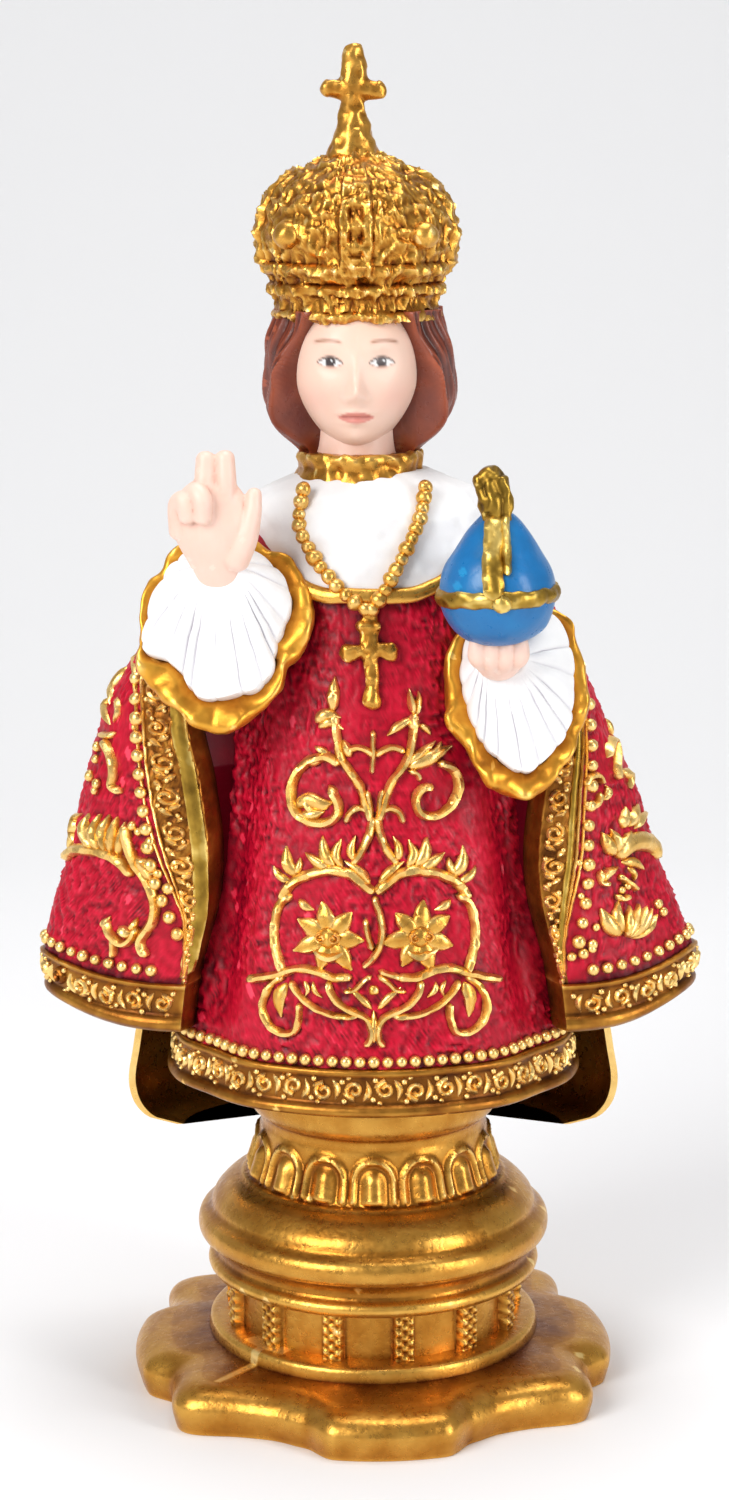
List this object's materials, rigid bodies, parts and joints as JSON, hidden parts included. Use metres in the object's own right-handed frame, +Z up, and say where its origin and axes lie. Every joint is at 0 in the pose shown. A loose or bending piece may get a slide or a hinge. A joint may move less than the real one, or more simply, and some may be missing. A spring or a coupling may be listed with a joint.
{
  "type": "crowned child figure statuette",
  "caption": "Small cast resin statuette of a crowned child in a spreading mantle, one hand raised, the other with an orb, on a round gilt pedestal.",
  "frame": {"origin": "middle of the pedestal's underside", "axes": "+Z up; -Y is the way the figure faces; +X is at the right of someone who looks at its front"},
  "size_m": [0.0737, 0.0548, 0.15],
  "materials": {
    "gilt": "warm gold paint over cast resin, glossy, brown in the hollows",
    "crimson": "pearly crimson paint over cast resin",
    "white": "satin white paint over cast resin",
    "flesh": "pale peach paint over cast resin, satin",
    "blue": "bright blue paint over cast resin",
    "hair": "auburn paint over cast resin, nearly black in the hollows"
  },
  "bodies": {
    "root": {"statuette": "gilt"}
  },
  "joints": []
}
